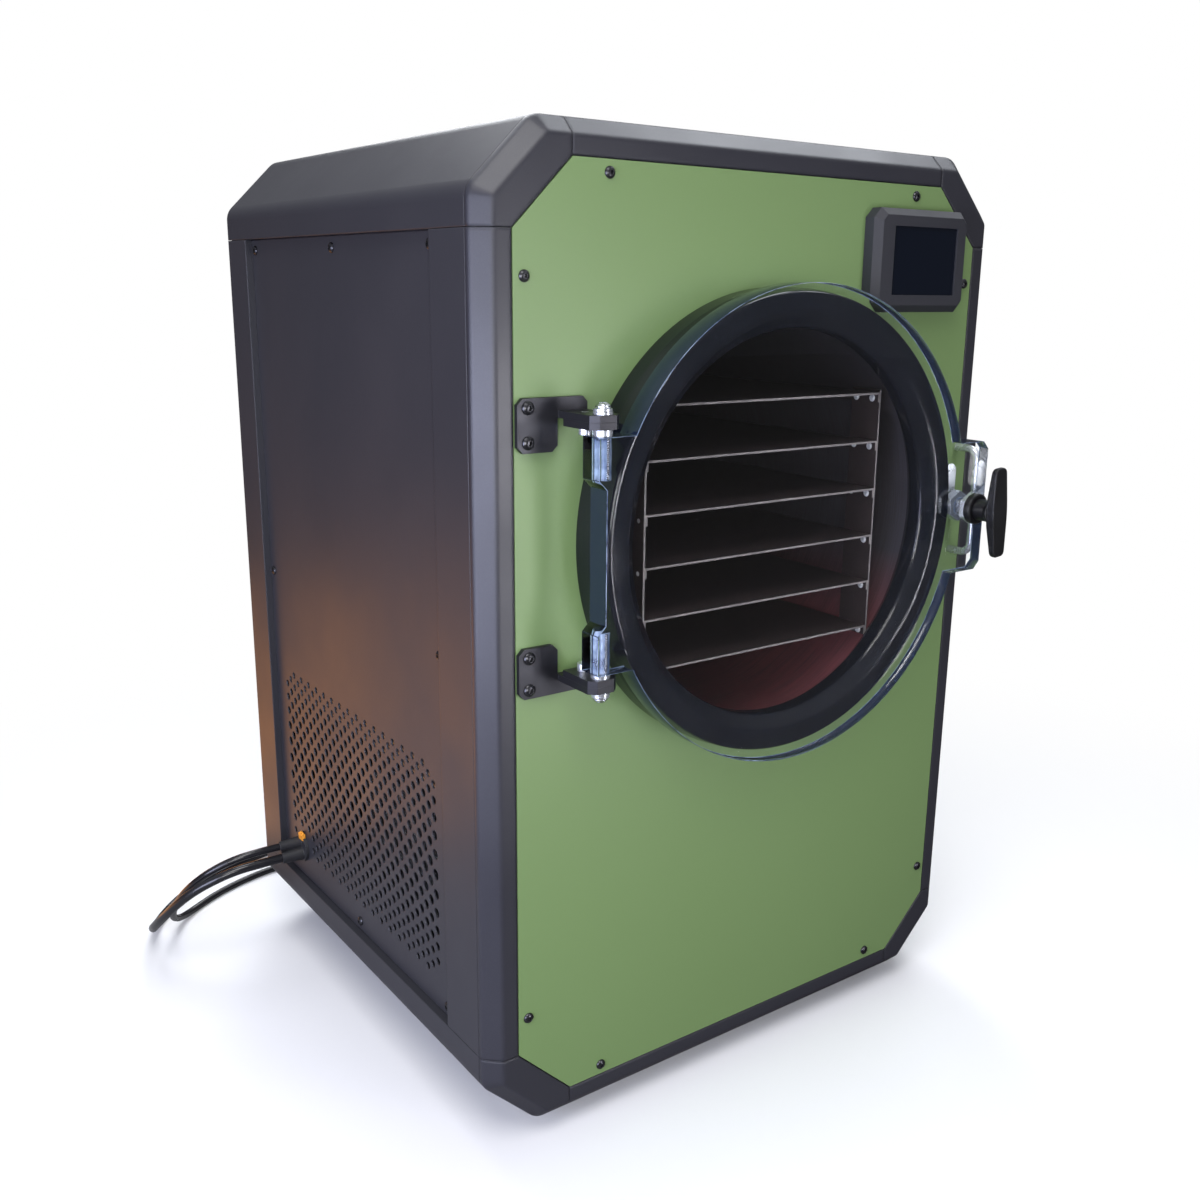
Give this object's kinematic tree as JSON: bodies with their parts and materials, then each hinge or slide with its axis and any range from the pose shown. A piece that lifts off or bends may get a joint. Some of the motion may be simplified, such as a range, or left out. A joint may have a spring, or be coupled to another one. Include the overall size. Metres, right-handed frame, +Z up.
{
  "type": "freeze dryer",
  "caption": "Home freeze dryer: an octagonal charcoal cabinet with a green front, a round vacuum chamber with shelves and a clear hinged door with a T-handle latch.",
  "frame": {"origin": "on the floor, halfway from the cord grommet to the right side and halfway from the front of the latch handle to the end of the vacuum port; the cords are left out", "axes": "+Z up along the cabinet's height, +X to the right of someone facing the door, +Y from the door to the rear"},
  "size_m": [0.585, 0.6408, 0.703],
  "materials": {
    "charcoal_coat": "satin",
    "frame_coat": "satin",
    "green_coat": "satin",
    "black_oxide": "satin",
    "galvanised": "satin",
    "stainless": "satin",
    "shelf_coat": "satin",
    "clear_acrylic": "gloss",
    "gasket_rubber": "gloss",
    "foot_rubber": "matte",
    "foam": "matte",
    "bright_zinc": "satin",
    "black_handle": "satin",
    "display_case": "satin",
    "display_glass": "gloss",
    "circuit_board": "satin",
    "compressor_coat": "gloss",
    "fin_aluminium": "satin",
    "motor_coat": "satin",
    "fan_plastic": "satin",
    "switch_plastic": "satin",
    "cord_sheath": "gloss"
  },
  "bodies": {
    "cabinet": {"top_hood": "charcoal_coat", "base_pan": "charcoal_coat", "front_post_left": "charcoal_coat", "front_post_right": "charcoal_coat", "rear_post_left": "charcoal_coat", "rear_post_right": "charcoal_coat", "side_panel_left": "charcoal_coat", "side_panel_right": "charcoal_coat", "frame_rail_top": "frame_coat", "frame_rail_bottom": "frame_coat", "frame_rail_left": "frame_coat", "frame_rail_right": "frame_coat", "frame_corners": "frame_coat", "front_panel": "green_coat", "front_panel_screws": "black_oxide", "cabinet_screws": "black_oxide", "rear_panel": "charcoal_coat", "feet": "foot_rubber", "chamber_deck": "galvanised", "chamber_drum": "stainless", "door_gasket": "gasket_rubber", "evaporator_coil": "fin_aluminium", "insulation_jacket": "foam", "vacuum_port": "stainless", "rack_straps": "shelf_coat", "shelf_rivets": "bright_zinc", "shelf_1": "shelf_coat", "shelf_2": "shelf_coat", "shelf_3": "shelf_coat", "shelf_4": "shelf_coat", "shelf_5": "shelf_coat", "shelf_6": "shelf_coat", "hinge_bracket_upper": "black_oxide", "hinge_bracket_lower": "black_oxide", "hinge_links": "black_oxide", "hinge_screws": "black_oxide", "hinge_hardware": "bright_zinc", "striker": "bright_zinc", "display_housing": "display_case", "display_screen": "display_glass", "control_board": "circuit_board", "compressor": "compressor_coat", "condenser": "fin_aluminium", "fan_motor": "motor_coat", "switch_bezel": "switch_plastic", "cable_gland": "cord_sheath", "mains_cord": "cord_sheath", "mains_coil": "cord_sheath", "mains_plug": "cord_sheath", "pump_cord": "cord_sheath", "pump_coil": "cord_sheath", "pump_connector": "cord_sheath"},
    "door": {"door_pane": "clear_acrylic", "hinge_bolts": "bright_zinc", "latch_housing": "black_handle", "latch_nut": "bright_zinc"},
    "latch": {"latch_handle": "black_handle", "latch_cam": "bright_zinc"},
    "fan": {"fan_rotor": "fan_plastic"},
    "switch": {"switch_rocker": "switch_plastic"}
  },
  "joints": [
    {"name": "door_hinge", "type": "hinge", "parent": "cabinet", "child": "door", "pos_m": [-0.162, -0.221, 0.4395], "axis": [0, 0, -1], "range_deg": [0, 160]},
    {"name": "latch_turn", "type": "hinge", "parent": "door", "child": "latch", "pos_m": [0.183, -0.221, 0.4395], "axis": [0, 1, 0], "range_deg": [0, 90]},
    {"name": "fan_spin", "type": "hinge", "parent": "cabinet", "child": "fan", "pos_m": [-0.119, 0.025, 0.108], "axis": [1, 0, 0], "continuous": true},
    {"name": "switch_rock", "type": "hinge", "parent": "cabinet", "child": "switch", "pos_m": [-0.142, 0.2345, 0.132], "axis": [1, 0, 0], "range_deg": [-16, 0]}
  ]
}
